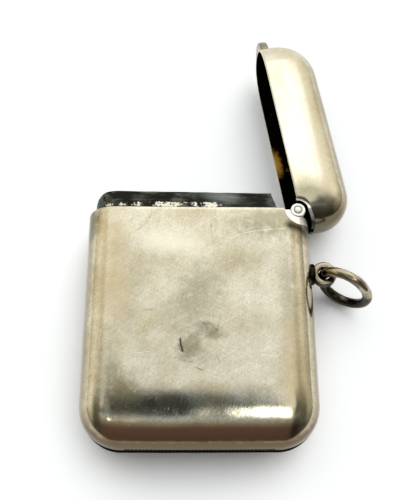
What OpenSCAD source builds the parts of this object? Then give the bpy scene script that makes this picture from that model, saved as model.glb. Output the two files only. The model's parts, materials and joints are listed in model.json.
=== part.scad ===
// Plain silver vesta case, a pocket box for wax matches, lying on its back with the lid open.
// Lengths are millimetres. X runs across the case to the hinge side, Y runs up the case to the
// lid, and Z runs out of the front face. The origin is the centre of the body's flat back face.
// Every piece of the lid is drawn shut and then swung open about the hinge pin.

/* [Case] */
// Width of the case across its two sides
case_w = 36; // [30:0.5:44]
// Thickness of the case from back face to front face
case_t = 11; // [10:0.25:14]
// Height of the body from base to rim
body_h = 37.3; // [32:0.1:46]
// Height of the lid from rim to top
lid_h = 9.5; // [8:0.1:14]
// Thickness of the silver sheet
sheet_t = 0.6; // [0.4:0.05:0.9]
// Radius of the rounded edges, seen in section
edge_r = 4.8; // [3.5:0.1:5.2]
// Plan radius of the two base corners
base_corner_r = 6.5; // [5.2:0.1:9]
// Plan radius of the two lid corners
lid_corner_r = 5.8; // [5.2:0.1:7.5]

/* [Hinge] */
// Angle that the lid stands open
lid_open = 81; // [0:0.5:82]
// Angle at which the lid's gutter comes to rest on the body's lip
lid_open_stop = 84; // [83.5:0.5:88]
// Distance of the hinge axis from the side of the case
hinge_inset = 2.1; // [1.8:0.05:2.8]
// Outside diameter of the hinge knuckles
knuckle_d = 2.35; // [2:0.05:2.6]
// Length of the middle knuckle, which belongs to the lid
lid_knuckle_l = 2.6; // [2.4:0.1:3.6]
// Depth of the outer knuckles' ends below the front and back faces
knuckle_inset = 1.7; // [1.2:0.1:2.2]
// Diameter of the hinge pin
pin_d = 1.25; // [0.9:0.05:1.4]
// Height of the riveted pin end above its knuckle
pin_rise = 0.15; // [0.1:0.05:0.3]
// Thickness of the gutter strips that carry the knuckles
bearer_t = 0.7; // [0.5:0.05:0.9]
// Depth of the body's lip below the hinge axis, at the side of the case
body_lip = 0.95; // [0.8:0.05:1.5]
// Room between a knuckle and the lid's gutter
lid_gutter_room = 0.7; // [0.5:0.05:0.85]
// Room between a knuckle and the body's gutter
body_gutter_room = 0.1; // [0.08:0.01:0.2]

/* [Thumb piece] */
// Distance that the thumb piece stands out of the lid's end
thumb_reach = 1.7; // [1:0.1:2.4]
// Radius of the thumb piece's round front
thumb_r = 3.4; // [2.8:0.1:4]
// Thickness of the thumb piece
thumb_t = 1.5; // [1:0.1:2]
// Distance of the thumb piece from the lid's rim
thumb_inset = 0.3; // [0.1:0.05:1]

/* [Mouth collar] */
// Thickness of the collar strip
collar_t = 0.45; // [0.3:0.05:0.6]
// Depth of the collar below the rim
collar_depth = 5; // [3:0.25:9]
// Rise of the collar above the rim at its closed end
collar_rise = 3.2; // [2.4:0.1:4]
// Rise of the collar above the rim at its hinge end
collar_rise_hinge = 2.9; // [2.2:0.1:3.8]
// Radius of the collar's top corner at its closed end
collar_corner_r = 2.3; // [1.5:0.1:2.4]
// Distance of the collar's end from the hinge axis at the rim
collar_end = 3.7; // [3.4:0.1:6]
// Distance that the collar's end slants back at its top
collar_slant = 1.05; // [0:0.05:2]

/* [Striker] */
// Length of the ribbed striking plate let into the base
striker_l = 22; // [14:0.5:22.5]
// Width of the striking plate
striker_w = 2; // [1.6:0.1:3]
// Thickness of the striking plate
striker_t = 0.8; // [0.6:0.05:1.2]
// Depth of the plate's ribs below the base
striker_sink = 0.1; // [0.05:0.05:0.2]
// Distance from rib to rib
rib_pitch = 0.55; // [0.4:0.05:0.8]
// Height of the ribs
rib_h = 0.22; // [0.15:0.01:0.35]

/* [Lid spring] */
// Thickness of the leaf spring under the hinge
spring_t = 0.3; // [0.2:0.05:0.4]
// Width of the leaf spring
spring_w = 2; // [1.4:0.1:2.2]
// Depth of the leaf's lower end below the hinge axis
spring_drop = 13; // [10:0.5:18]
// Length of the leaf's foot along the side wall
spring_foot = 4; // [3:0.25:5]

/* [Eye and ring] */
// Outside diameter of the eye
eye_d = 4.1; // [3.6:0.1:5]
// Diameter of the eye's hole
eye_hole_d = 2.25; // [2.1:0.05:2.6]
// Thickness of the eye
eye_t = 1.4; // [1:0.1:1.8]
// Distance of the eye's hole from the side of the case
eye_reach = 2.2; // [2.1:0.05:3]
// Distance of the eye's hole below the rim
eye_drop = 9.5; // [9:0.1:20]
// Diameter of the pad that joins the eye to the side
pad_d = 3.5; // [2.6:0.1:4.4]
// Thickness of the pad
pad_t = 0.6; // [0.4:0.05:0.9]
// Diameter of the hanging ring, at the middle of its wire
ring_d = 7.9; // [7:0.1:8.8]
// Diameter of the ring's wire
ring_wire = 1.5; // [1:0.05:1.6]
// Direction in which the ring lies, from straight out of the side
ring_swing = -30.5; // [-90:0.5:40]
// Distance that the ring's centre hangs below the eye
ring_drop = 0.65; // [0.2:0.05:0.8]

/* [Clearances] */
// Solder line between fixed pieces
solder_gap = 0.02; // [0.01:0.005:0.04]
// Seam between the rims when the lid is shut
rim_gap = 0.08; // [0.05:0.01:0.2]
// Room between the collar and the inside of the lid
lid_room = 0.15; // [0.1:0.01:0.25]
// Room between the pin and each knuckle's bore, at the radius
pin_room = 0.03; // [0.02:0.005:0.06]
// Room between the ends of neighbouring knuckles
knuckle_gap = 0.06; // [0.03:0.01:0.15]
// Room between the lid's gutter and the body's lip at the stop
lip_room = 0.03; // [0.02:0.01:0.08]
// Room between the leaf spring and what it passes
spring_room = 0.05; // [0.03:0.01:0.06]
// Height of the ring above the table
table_gap = 0.1; // [0.05:0.05:0.3]

/* [Hidden] */
$fn = 64;

silver = "#c9c3b4";
bright_silver = "#e6e3dc";
dark_silver = "#8d8070";
tarnished = "#4a4f4d";
steel = "#7d8288";

// Places that the pieces share
side_x = case_w / 2;
mid_z = case_t / 2;
base_y = -body_h / 2;
rim_y = body_h / 2;
hinge_x = side_x - hinge_inset;
overcut = 1;

// Hinge sizes that follow from the knuckle
knuckle_r = knuckle_d / 2;
body_gutter_r = knuckle_r + body_gutter_room;
lid_gutter_r = knuckle_r + lid_gutter_room;
floor_rise = 0.12;
barrel_l = case_t - 2 * knuckle_inset;
body_knuckle_l = (barrel_l - lid_knuckle_l) / 2 - knuckle_gap;

// The gutters' floors, about the hinge axis with the lid shut: the body's floor ends at its lip,
// and the lid's floor passes just over the place where that lip stands at the stop
body_lip_at = [hinge_inset, -body_lip];
lip_at_stop = turned(body_lip_at, lid_open_stop) + [0, lip_room];

// Directions about the hinge axis at which each knuckle is joined to its gutter
body_saddle = [195, 245];
lid_web = [95, 150];

// The leaf spring, about the hinge axis: it leaves the side wall, bends clear of the body's strip,
// and touches the lid's knuckle through a window in that strip
spring_touch = 205;
spring_bend = 225;
spring_bend_clear = 0.6;
spring_bend_reach = body_gutter_r + bearer_t + spring_bend_clear;
spring_window = 1.7;

// Collar sizes that follow from the case
collar_left = -side_x + sheet_t + lid_room;
collar_right = hinge_x - collar_end;

// Eye and ring places
eye_x = side_x + eye_reach;
eye_y = rim_y - eye_drop;
ring_r = ring_d / 2;
ring_z = max(mid_z - ring_drop, ring_r + ring_wire / 2 + table_gap);
ring_out = sqrt(pow(ring_r, 2) - pow(mid_z - ring_z, 2));

function polar(r, a) = [r * cos(a), r * sin(a)];
function turned(p, a) = [p.x * cos(a) - p.y * sin(a), p.x * sin(a) + p.y * cos(a)];

// Edge drawing of a slab t thick: it runs out from x = 0 to a side whose two corners are round
module half_section(reach, t, r) {
    square([reach - r, t]);
    translate([0, r])
        square([reach, t - 2 * r]);
    intersection() {
        for (z = [r, t - r])
            translate([reach - r, z])
                circle(r);
        square([reach, t]);
    }
}

// A rounded slab standing on y = 0 with two round plan corners there, cut straight at y = h: a flat
// middle with one edge drawing carried round it, up both sides, round the corners and along the base
module slab(w, h, t, r, corner_r) {
    straight = w - 2 * corner_r;
    translate([-straight / 2, corner_r, 0]) {
        cube([straight, h - corner_r, t]);
        mirror([0, 1, 0])
            rotate([90, 0, 90])
                linear_extrude(straight)
                    half_section(corner_r, t, r);
    }
    for (side = [0, 1])
        mirror([side, 0, 0])
            translate([straight / 2, corner_r, 0]) {
                mirror([0, 1, 0])
                    rotate([90, 0, 0])
                        linear_extrude(h - corner_r)
                            half_section(corner_r, t, r);
                rotate([0, 0, -90])
                    rotate_extrude(angle = 90)
                        half_section(corner_r, t, r);
            }
}

// The body's form, grown or shrunk all round, and carried on above the rim
module body_form(grow = 0, above = 0) {
    translate([0, base_y - grow, -grow])
        slab(
            case_w + 2 * grow, body_h + grow + above, case_t + 2 * grow,
            edge_r + grow, base_corner_r + grow
        );
}

// The shut lid's form, grown or shrunk all round, and carried on below its rim
module lid_form(grow = 0, below = 0) {
    translate([0, rim_y + rim_gap + lid_h + grow, -grow])
        rotate([0, 0, 180])
            slab(
                case_w + 2 * grow, lid_h + grow + below, case_t + 2 * grow,
                edge_r + grow, lid_corner_r + grow
            );
}

// Everything in front of the seam at half thickness
module front_half() {
    translate([-case_w, -2 * body_h, mid_z + solder_gap / 2])
        cube([2 * case_w, 4 * body_h, case_t]);
}

// Everything behind that seam
module back_half() {
    translate([-case_w, -2 * body_h, mid_z - solder_gap / 2 - case_t])
        cube([2 * case_w, 4 * body_h, case_t]);
}

// Swings what is drawn shut to where the lid stands
module swung_open() {
    translate([hinge_x, rim_y, 0])
        rotate([0, 0, -lid_open])
            translate([-hinge_x, -rim_y, 0])
                children();
}

// Extrudes a drawing about the hinge axis from one height to another
module along_hinge(low, high) {
    translate([hinge_x, rim_y, low])
        linear_extrude(high - low)
            children();
}

// Trough below the hinge axis: round under the knuckle, then a straight floor through a given point
module gutter(r, through, grow) {
    turn = atan2(through.y, through.x) - acos((r - floor_rise) / norm(through));
    start = polar(r + grow - floor_rise, turn);
    end = start + polar(3 * hinge_inset, turn + 90);
    circle(r + grow);
    polygon([[0, 0], start, end, [end.x, hinge_inset], [0, hinge_inset]]);
}

// The strip that lines such a trough, ending level with the rim
module gutter_strip(r, through, rim) {
    reach = case_w;
    difference() {
        gutter(r, through, bearer_t);
        gutter(r, through, 0);
        translate([-reach, -rim])
            square(2 * reach);
    }
}

// Trough and strip of the body, and those of the lid, which are drawn upside down and turned over
module body_gutter(grow) {
    gutter(body_gutter_r, body_lip_at, grow);
}

module lid_gutter(grow) {
    mirror([0, 1])
        gutter(lid_gutter_r, [lip_at_stop.x, -lip_at_stop.y], grow);
}

module body_gutter_strip() {
    gutter_strip(body_gutter_r, body_lip_at, 0);
}

module lid_gutter_strip() {
    mirror([0, 1])
        gutter_strip(lid_gutter_r, [lip_at_stop.x, -lip_at_stop.y], rim_gap);
}

// A wedge about the hinge axis between two directions
module wedge(directions) {
    reach = 2 * knuckle_d;
    polygon([[0, 0], polar(reach, directions[0]), polar(reach, directions[1])]);
}

// Knuckle with its bore, and the fillet that joins it to a gutter
module knuckle_drawing(gutter_r, joined) {
    difference() {
        union() {
            circle(knuckle_r);
            intersection() {
                circle(gutter_r - solder_gap);
                wedge(joined);
            }
        }
        circle(pin_d / 2 + pin_room);
    }
}

// Body sheet with the room cut for hinge and striker
module body_sheet() {
    difference() {
        body_form();
        body_form(-sheet_t, overcut);
        along_hinge(-overcut, case_t + overcut)
            body_gutter(bearer_t + solder_gap);
        translate([-striker_l / 2 - solder_gap, base_y - overcut, mid_z - striker_w / 2 - solder_gap])
            cube([striker_l + 2 * solder_gap, overcut + 2 * sheet_t, striker_w + 2 * solder_gap]);
    }
}

// Lid sheet with the room cut for its hinge strip
module lid_sheet() {
    difference() {
        lid_form();
        lid_form(-sheet_t, overcut);
        along_hinge(-overcut, case_t + overcut)
            lid_gutter(bearer_t + solder_gap);
    }
}

module body_front_shell() {
    color(silver)
        intersection() {
            body_sheet();
            front_half();
        }
}

module body_back_shell() {
    color(silver)
        intersection() {
            body_sheet();
            back_half();
        }
}

// Outline of the collar seen from the front: a round corner at the left, a slant at the right
module collar_outline() {
    left_full = collar_left + collar_corner_r;
    height = collar_depth + collar_rise;
    intersection() {
        union() {
            translate([left_full, rim_y - collar_depth])
                square([case_w, height]);
            translate([-case_w, rim_y - collar_depth])
                square([case_w + left_full, height - collar_corner_r]);
            translate([left_full, rim_y + collar_rise - collar_corner_r])
                circle(collar_corner_r);
        }
        polygon([
            [-case_w, rim_y - collar_depth],
            [collar_right, rim_y - collar_depth],
            [collar_right, rim_y],
            [collar_right - collar_slant, rim_y + collar_rise_hinge],
            [left_full, rim_y + collar_rise],
            [-case_w, rim_y + collar_rise]
        ]);
    }
}

// Strip that lines the mouth: soldered inside the body, and set back where the lid slides over it
module mouth_collar() {
    above = collar_rise + overcut;
    color(tarnished)
        intersection() {
            difference() {
                union() {
                    body_form(-sheet_t - solder_gap);
                    body_form(-sheet_t - lid_room, above);
                }
                body_form(-sheet_t - lid_room - collar_t, above + overcut);
            }
            translate([0, 0, -overcut])
                linear_extrude(case_t + 2 * overcut)
                    collar_outline();
        }
}

// Flat plate with a row of sharp ribs for striking the match
module striker_plate() {
    rib_count = floor(striker_l / rib_pitch);
    first = -rib_count * rib_pitch / 2;
    ribs = [for (i = [0 : 2 * rib_count]) [first + i * rib_pitch / 2, i % 2 == 0 ? rib_h : 0]];
    end_x = striker_l / 2;
    ends = [[end_x, rib_h], [end_x, striker_t], [-end_x, striker_t], [-end_x, rib_h]];
    color(tarnished)
        translate([0, base_y + striker_sink, mid_z - striker_w / 2])
            linear_extrude(striker_w)
                polygon(concat(ribs, ends));
}

module body_hinge_bearer() {
    window_w = spring_w + 4 * spring_room;
    color(bright_silver)
        difference() {
            intersection() {
                along_hinge(0, case_t)
                    body_gutter_strip();
                body_form();
            }
            along_hinge(mid_z - window_w / 2, mid_z + window_w / 2)
                rotate((spring_touch + spring_bend) / 2)
                    translate([knuckle_r, -spring_window / 2])
                        square([spring_bend_reach, spring_window]);
        }
}

module body_knuckle(low) {
    color(bright_silver)
        along_hinge(low, low + body_knuckle_l)
            knuckle_drawing(body_gutter_r, body_saddle);
}

module body_knuckle_front() {
    body_knuckle(case_t - knuckle_inset - body_knuckle_l);
}

module body_knuckle_back() {
    body_knuckle(knuckle_inset);
}

module hinge_pin() {
    color(bright_silver)
        translate([hinge_x, rim_y, knuckle_inset - pin_rise])
            cylinder(d = pin_d, h = barrel_l + 2 * pin_rise);
}

// A straight stretch of the leaf between two points, with round ends
module leaf(from, to) {
    run = to - from;
    translate(from)
        rotate(atan2(run.y, run.x))
            translate([0, -spring_t / 2])
                square([norm(run), spring_t]);
    for (end = [from, to])
        translate(end)
            circle(spring_t / 2);
}

// Steel leaf: its foot lies on the side wall and its tip rubs the lid's knuckle
module lid_spring() {
    wall_x = hinge_inset - sheet_t - solder_gap - spring_t / 2;
    foot_low = [wall_x, -spring_drop];
    foot_top = [wall_x, -spring_drop + spring_foot];
    bend = polar(spring_bend_reach, spring_bend);
    tip = polar(knuckle_r + spring_room + spring_t / 2, spring_touch);
    color(steel)
        intersection() {
            along_hinge(mid_z - spring_w / 2, mid_z + spring_w / 2) {
                leaf(foot_low, foot_top);
                leaf(foot_top, bend);
                leaf(bend, tip);
            }
            body_form(-sheet_t - solder_gap, overcut);
        }
}

// Round pad on the side, hollowed for the eye that is soldered to it
module eye_pad() {
    color(dark_silver)
        difference() {
            translate([side_x - overcut, eye_y, mid_z])
                rotate([0, 90, 0])
                    cylinder(d = pad_d, h = overcut + pad_t);
            body_form(solder_gap);
            translate([eye_x, eye_y, mid_z - eye_t / 2 - solder_gap])
                cylinder(d = eye_d + 2 * solder_gap, h = eye_t + 2 * solder_gap);
        }
}

module suspension_eye() {
    color(dark_silver)
        translate([eye_x, eye_y, mid_z - eye_t / 2])
            linear_extrude(eye_t)
                difference() {
                    circle(d = eye_d);
                    circle(d = eye_hole_d);
                }
}

module lid_front_shell() {
    color(silver)
        swung_open()
            intersection() {
                lid_sheet();
                front_half();
            }
}

module lid_back_shell() {
    color(silver)
        swung_open()
            intersection() {
                lid_sheet();
                back_half();
            }
}

module lid_hinge_bearer() {
    color(bright_silver)
        swung_open()
            intersection() {
                along_hinge(0, case_t)
                    lid_gutter_strip();
                lid_form();
            }
}

module lid_knuckle() {
    color(bright_silver)
        swung_open()
            along_hinge(mid_z - lid_knuckle_l / 2, mid_z + lid_knuckle_l / 2)
                knuckle_drawing(lid_gutter_r, lid_web);
}

// Half-round lip on the lid's far end, for the thumb nail
module thumb_piece() {
    color(silver)
        swung_open()
            difference() {
                translate([-side_x - thumb_reach + thumb_r, rim_y + rim_gap + thumb_inset, mid_z])
                    rotate([-90, 0, 0])
                        cylinder(r = thumb_r, h = thumb_t);
                lid_form(solder_gap, overcut);
            }
}

// Ring of round wire that stands on edge through the eye
module hanging_ring() {
    color(dark_silver)
        translate([eye_x, eye_y, ring_z])
            rotate([0, 0, ring_swing])
                translate([ring_out, 0, 0])
                    rotate([90, 0, 0])
                        rotate_extrude()
                            translate([ring_r, 0])
                                circle(d = ring_wire);
}

body_front_shell();
body_back_shell();
mouth_collar();
striker_plate();
body_hinge_bearer();
body_knuckle_front();
body_knuckle_back();
hinge_pin();
lid_spring();
eye_pad();
suspension_eye();
lid_front_shell();
lid_back_shell();
lid_hinge_bearer();
lid_knuckle();
thumb_piece();
hanging_ring();
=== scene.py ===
# Vesta case of worn silver, lying on its back with the lid open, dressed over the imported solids.
# Places and main sizes come from the frame, and the other sizes are millimetres times mm.
import json
import math

import bmesh
import bpy
from mathutils import Matrix, Vector, noise


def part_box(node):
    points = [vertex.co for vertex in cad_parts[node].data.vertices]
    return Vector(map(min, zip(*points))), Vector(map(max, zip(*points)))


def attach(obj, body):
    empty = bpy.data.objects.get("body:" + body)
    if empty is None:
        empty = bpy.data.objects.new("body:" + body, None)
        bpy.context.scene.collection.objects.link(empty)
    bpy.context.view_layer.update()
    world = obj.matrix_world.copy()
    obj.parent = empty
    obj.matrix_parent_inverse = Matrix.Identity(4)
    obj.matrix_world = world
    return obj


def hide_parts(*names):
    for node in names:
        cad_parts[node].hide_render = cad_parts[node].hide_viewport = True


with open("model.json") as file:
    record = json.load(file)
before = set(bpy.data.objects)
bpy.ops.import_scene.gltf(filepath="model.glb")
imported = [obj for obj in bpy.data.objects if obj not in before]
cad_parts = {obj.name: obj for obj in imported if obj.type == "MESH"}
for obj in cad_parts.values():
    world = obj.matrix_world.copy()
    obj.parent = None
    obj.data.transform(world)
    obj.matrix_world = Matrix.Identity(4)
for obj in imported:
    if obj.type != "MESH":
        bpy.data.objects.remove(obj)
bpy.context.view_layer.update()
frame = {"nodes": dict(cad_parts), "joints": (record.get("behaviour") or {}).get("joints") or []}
mm = 0.001


# Body shells
# The body is two trays struck from silver sheet, front and back, soldered along a seam at half
# thickness. Pocket wear has softened the edges, and the faces carry tarnish, hairline scratches,
# wiping streaks and one patch that was rubbed hard.
front_low, front_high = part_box("body_front_shell")
back_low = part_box("body_back_shell")[0]
half_w = (front_high.x - front_low.x) / 2
half_t = (front_high.z - back_low.z) / 2
mid_z = back_low.z + half_t
base_y = front_low.y
rim_y = front_high.y
pin_low, pin_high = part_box("hinge_pin")
hinge = (pin_low + pin_high) / 2
hinge_inset = half_w - hinge.x
sheet = 0.6 * mm
seam = 0.02 * mm
solder_gap = 0.02 * mm
lip_r = 0.14 * mm
body_form = {
    "pillow": 2.25,
    "height": rim_y - base_y,
    "end": 9 * mm,
    "side": (5.2 * mm, 5.2 * mm),
    "corner": (6.5 * mm, 6.5 * mm),
    "bow": 0.2 * mm,
}
end_steps, wall_steps, edge_steps, flat_steps = 34, 70, 24, 96
round_turns = [math.radians(a) for a in (0, 30, 60, 90)]
sharp_edge = math.radians(40)
merge_gap = 1e-4 * mm
dents = ((0.11 * mm, 10 * mm), (0.03 * mm, 3.6 * mm))
ledge, ledge_run, ledge_middle = 0.3 * mm, 2.4 * mm, 0.6


def linear(code):
    """Linear colour of an sRGB hex code."""
    parts = [int(code[i:i + 2], 16) / 255 for i in (1, 3, 5)]
    return [c / 12.92 if c <= 0.04045 else ((c + 0.055) / 1.055) ** 2.4 for c in parts] + [1.0]


def add(tree, kind, inputs=None, out=0, **settings):
    """Adds a node, sets its properties and sockets, links what is a socket, and gives one output."""
    node = tree.nodes.new(kind)
    for key, value in settings.items():
        setattr(node, key, value)
    for key, value in (inputs or {}).items():
        if isinstance(value, bpy.types.NodeSocket):
            tree.links.new(value, node.inputs[key])
        else:
            node.inputs[key].default_value = value
    return node.outputs[out] if node.outputs else None


# Settings that many nodes share: a mix of the colours on sockets 6 and 7, and a step with soft ends.
colour_mix = {"out": 2, "data_type": "RGBA"}
soft_step = {"interpolation_type": "SMOOTHSTEP"}


def new_finish(name):
    """An empty material and its tree, with the place on the object as coordinates."""
    finish = bpy.data.materials.new(name)
    finish.use_nodes = True
    finish.node_tree.nodes.clear()
    return finish, finish.node_tree, add(finish.node_tree, "ShaderNodeTexCoord", out="Object")


def close_finish(tree, colour, rough, height, depth, metal=1.0, shine=0.5):
    """Ends a finish in one shader: its colour, roughness, relief, and how far it is metal or shines."""
    relief = add(tree, "ShaderNodeBump", {"Strength": 1.0, "Distance": depth, "Height": height})
    shader = add(tree, "ShaderNodeBsdfPrincipled",
                 {"Base Color": colour, "Metallic": metal, "Roughness": rough, "Normal": relief,
                  "Specular IOR Level": shine})
    add(tree, "ShaderNodeOutputMaterial", {"Surface": shader})


def tray_row(form, v, inset):
    """Points across a tray at distance v from its closed end, on the skin that lies inset deep."""
    pillow = form["pillow"]
    end_share = max(0.0, 1 - (v - inset) / (form["end"] - inset))
    side_share = (1 - end_share ** pillow) ** (1 / pillow)
    spans = []
    for corner, side in zip(form["corner"], form["side"]):
        corner_r = corner - inset
        short = corner_r - min(v - inset, corner_r)
        reach = half_w - inset - corner_r + math.sqrt(corner_r ** 2 - short ** 2)
        spans.append((reach - (side - inset) * side_share, reach))
    steps = [math.sin(math.pi / 2 * k / edge_steps) ** (2 / pillow) for k in range(edge_steps + 1)]
    (left_flat, left), (right_flat, right) = spans
    columns = [(-left_flat - (left - left_flat) * s, s) for s in reversed(steps)]
    columns += [(-left_flat + (left_flat + right_flat) * k / flat_steps, 0) for k in range(1, flat_steps)]
    columns += [(right_flat + (right - right_flat) * s, s) for s in steps]
    points = []
    for u, s in columns:
        fullness = max(0.0, 1 - (side_share * s) ** pillow - end_share ** pillow) ** (1 / pillow)
        rise = form["bow"] * (u / half_w) ** 2 * end_share
        points.append((u, v + rise, (half_t - inset) * fullness))
    return points


def skin_rows(form, inset):
    """Distances from the closed end at which a skin has its rows, close together on the round end."""
    reach = form["end"] - inset
    turns = [math.cos(math.pi / 2 * k / end_steps) ** (2 / form["pillow"]) for k in range(end_steps + 1)]
    rows = [inset + reach * (1 - share) for share in turns]
    straight = form["height"] - lip_r - rows[-1]
    return rows + [rows[-1] + straight * k / wall_steps for k in range(1, wall_steps + 1)]


def shaped(rows, closed_columns=False, closed_rows=False):
    """A mesh under way, with a grid of points joined by four-sided faces."""
    work = bmesh.new()
    grid = [[work.verts.new(p) for p in row] for row in rows]
    following = grid[1:] + grid[:1] if closed_rows else grid[1:]
    for low, high in zip(grid, following):
        ends = len(low) if closed_columns else len(low) - 1
        for k in range(ends):
            after = (k + 1) % len(low)
            work.faces.new((low[k], low[after], high[after], high[k]))
    return work, grid


def finished(work, name, materials=()):
    """Turns a mesh under way into an object with smooth shading between its sharp edges."""
    bmesh.ops.remove_doubles(work, verts=work.verts, dist=merge_gap)
    bmesh.ops.dissolve_degenerate(work, dist=merge_gap, edges=work.edges)
    bmesh.ops.recalc_face_normals(work, faces=work.faces)
    mesh = bpy.data.meshes.new(name)
    work.to_mesh(mesh)
    work.free()
    piece = bpy.data.objects.new(name, mesh)
    bpy.context.scene.collection.objects.link(piece)
    for finish in materials:
        mesh.materials.append(finish)
    return smoothed(piece)


def smoothed(piece):
    """Smooth shading, apart from edges that turn sharply."""
    piece.data.polygons.foreach_set("use_smooth", [True] * len(piece.data.polygons))
    piece.data.set_sharp_from_angle(angle=sharp_edge)
    return piece


def carved(piece, tool, operation="DIFFERENCE"):
    """Cuts a piece with a tool's shape, or keeps what the two share, and puts the tool away."""
    cut = piece.modifiers.new("cut", "BOOLEAN")
    cut.operation = operation
    cut.solver = "EXACT"
    cut.object = tool
    bpy.context.view_layer.update()
    graph = bpy.context.evaluated_depsgraph_get()
    mesh = bpy.data.meshes.new_from_object(piece.evaluated_get(graph))
    mesh.name = piece.name
    piece.modifiers.clear()
    piece.data = mesh
    smoothed(piece)
    bpy.data.objects.remove(tool)


def prism(name, outline, low, high):
    """A straight prism of an outline drawn about the hinge axis, from one height to another."""
    work = bmesh.new()
    ends = [[work.verts.new((hinge.x + x, hinge.y + y, z)) for x, y in outline] for z in (low, high)]
    work.faces.new(list(reversed(ends[0])))
    work.faces.new(ends[1])
    for k in range(len(outline)):
        after = (k + 1) % len(outline)
        work.faces.new((ends[0][k], ends[0][after], ends[1][after], ends[1][k]))
    return finished(work, name)


def dent(place):
    """Depth by which handling has pressed the sheet in at a place, in metres."""
    return sum(depth * (1 - noise.noise(place / size)) for depth, size in dents)


def tray(name, form, place, materials):
    """A closed tray of sheet: outer skin, rounded lip and inner skin, placed by a given function."""
    outer = [(v, 0.0) for v in skin_rows(form, 0.0)]
    inner = [(v, sheet) for v in skin_rows(form, sheet)]
    top = form["height"] - lip_r
    lip = [(top + lip_r * math.sin(a), lip_r * (1 - math.cos(a))) for a in round_turns[1:]]
    lip += [(top + lip_r * math.cos(a), sheet - lip_r * (1 - math.sin(a))) for a in round_turns[:-1]]
    rows = []
    for v, inset in outer + lip + inner[::-1]:
        rows.append([place(u, y, w) for u, y, w in tray_row(form, v, inset)])
    work, grid = shaped(rows)
    columns = len(grid[0]) - 1
    work.faces.ensure_lookup_table()
    for face in work.faces[(len(outer) + len(lip) // 2) * columns:]:
        face.material_index = 1
    last = len(grid) - 1
    for k in range(len(outer) - 1):
        work.faces.new((grid[k][0], grid[k + 1][0], grid[last - k - 1][0], grid[last - k][0]))
        work.faces.new((grid[k][-1], grid[last - k][-1], grid[last - k - 1][-1], grid[k + 1][-1]))
    for column in (0, -1):
        work.faces.new([row[column] for row in grid[len(outer) - 1:len(outer) + len(lip) + 1]])
    for k in range(columns):
        work.faces.new((grid[0][k], grid[last][k], grid[last][k + 1], grid[0][k + 1]))
    return finished(work, name, materials)


def lump(name, form, place):
    """The solid that a pair of trays encloses, for trimming what is let into them."""
    loops = []
    for v in skin_rows(form, 0.0) + [form["height"]]:
        row = tray_row(form, v, 0.0)
        front = [place(*point, 1) for point in row]
        back = [place(*point, -1) for point in row[-2:0:-1]]
        loops.append(front + back)
    work, grid = shaped(loops, closed_columns=True)
    work.faces.new(grid[-1])
    return finished(work, name)


def body_place(u, v, w, face):
    """Where a tray's point lies on the body, on its front (1) or its back (-1)."""
    share = ledge_middle + (1 - ledge_middle) * (u / half_w) ** 2
    proud = ledge * share * max(0.0, 1 - v / ledge_run) if face < 0 else 0.0
    place = Vector((u, base_y + v - proud, mid_z + face * w))
    fullness = w / half_t
    return place - Vector((0, 0, face * fullness * dent(place)))


def half_place(place, face):
    """The same place, kept half a solder seam clear of the other tray."""
    def moved(u, v, w):
        return place(u, v, seam / 2 + w * (1 - seam / 2 / half_t), face)
    return moved


def stroke(tree, where, path, width):
    """A mark along a line of points on the face, 1 on the line and 0 at its edge, in millimetres."""
    flat = add(tree, "ShaderNodeVectorMath", {0: where, 1: (1, 1, 0)}, operation="MULTIPLY")
    mark = 0.0
    for start, end in zip(path, path[1:]):
        first = Vector((*start, 0)) * mm
        run = Vector((*end, 0)) * mm - first
        off = add(tree, "ShaderNodeVectorMath", {0: flat, 1: first}, operation="SUBTRACT")
        along = add(tree, "ShaderNodeVectorMath", {0: off, 1: run / run.length_squared}, "Value",
                    operation="DOT_PRODUCT")
        held = add(tree, "ShaderNodeClamp", {"Value": along})
        nearest = add(tree, "ShaderNodeVectorMath", {0: run, "Scale": held}, operation="SCALE")
        away = add(tree, "ShaderNodeVectorMath", {0: off, 1: nearest}, "Value", operation="DISTANCE")
        part = add(tree, "ShaderNodeMapRange",
                   {"Value": away, "From Min": width / 2 * mm, "From Max": 0.0}, **soft_step)
        mark = add(tree, "ShaderNodeMath", {0: mark, 1: part}, operation="MAXIMUM")
    return mark


def blotch(tree, where, ragged, centre, size, turn):
    """A soft oval on the face with a ragged edge, 1 in its middle and 0 outside, in millimetres."""
    near = add(tree, "ShaderNodeMapping",
               {"Vector": where, "Location": Vector((*centre, 0)) * mm, "Rotation": (0, 0, turn),
                "Scale": (size[0] * mm, size[1] * mm, 1)}, vector_type="TEXTURE")
    flat = add(tree, "ShaderNodeVectorMath", {0: near, 1: (1, 1, 0)}, operation="MULTIPLY")
    away = add(tree, "ShaderNodeVectorMath", {0: flat}, "Value", operation="LENGTH")
    edge = add(tree, "ShaderNodeMath", {0: ragged, 1: 0.9, 2: away}, operation="MULTIPLY_ADD")
    return add(tree, "ShaderNodeMapRange", {"Value": edge, "From Min": 1.45, "From Max": 0.55}, **soft_step)


def wiping_hatch(tree, place):
    """Fine lines that cloths have left in three directions, as a sum that lies near 1.5."""
    hatch = 0.0
    for turn, long in ((0.6, 11.0), (-0.45, 6.0), (1.35, 9.0)):
        turned = add(tree, "ShaderNodeMapping",
                     {"Vector": place, "Rotation": (0, 0, turn), "Scale": (long, 1.0, 1.0)},
                     vector_type="TEXTURE")
        lines = add(tree, "ShaderNodeTexNoise",
                    {"Vector": turned, "Scale": 1 / (0.21 * mm), "Detail": 2.0, "Roughness": 0.6})
        hatch = add(tree, "ShaderNodeMath", {0: hatch, 1: lines}, operation="ADD")
    return hatch


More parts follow.
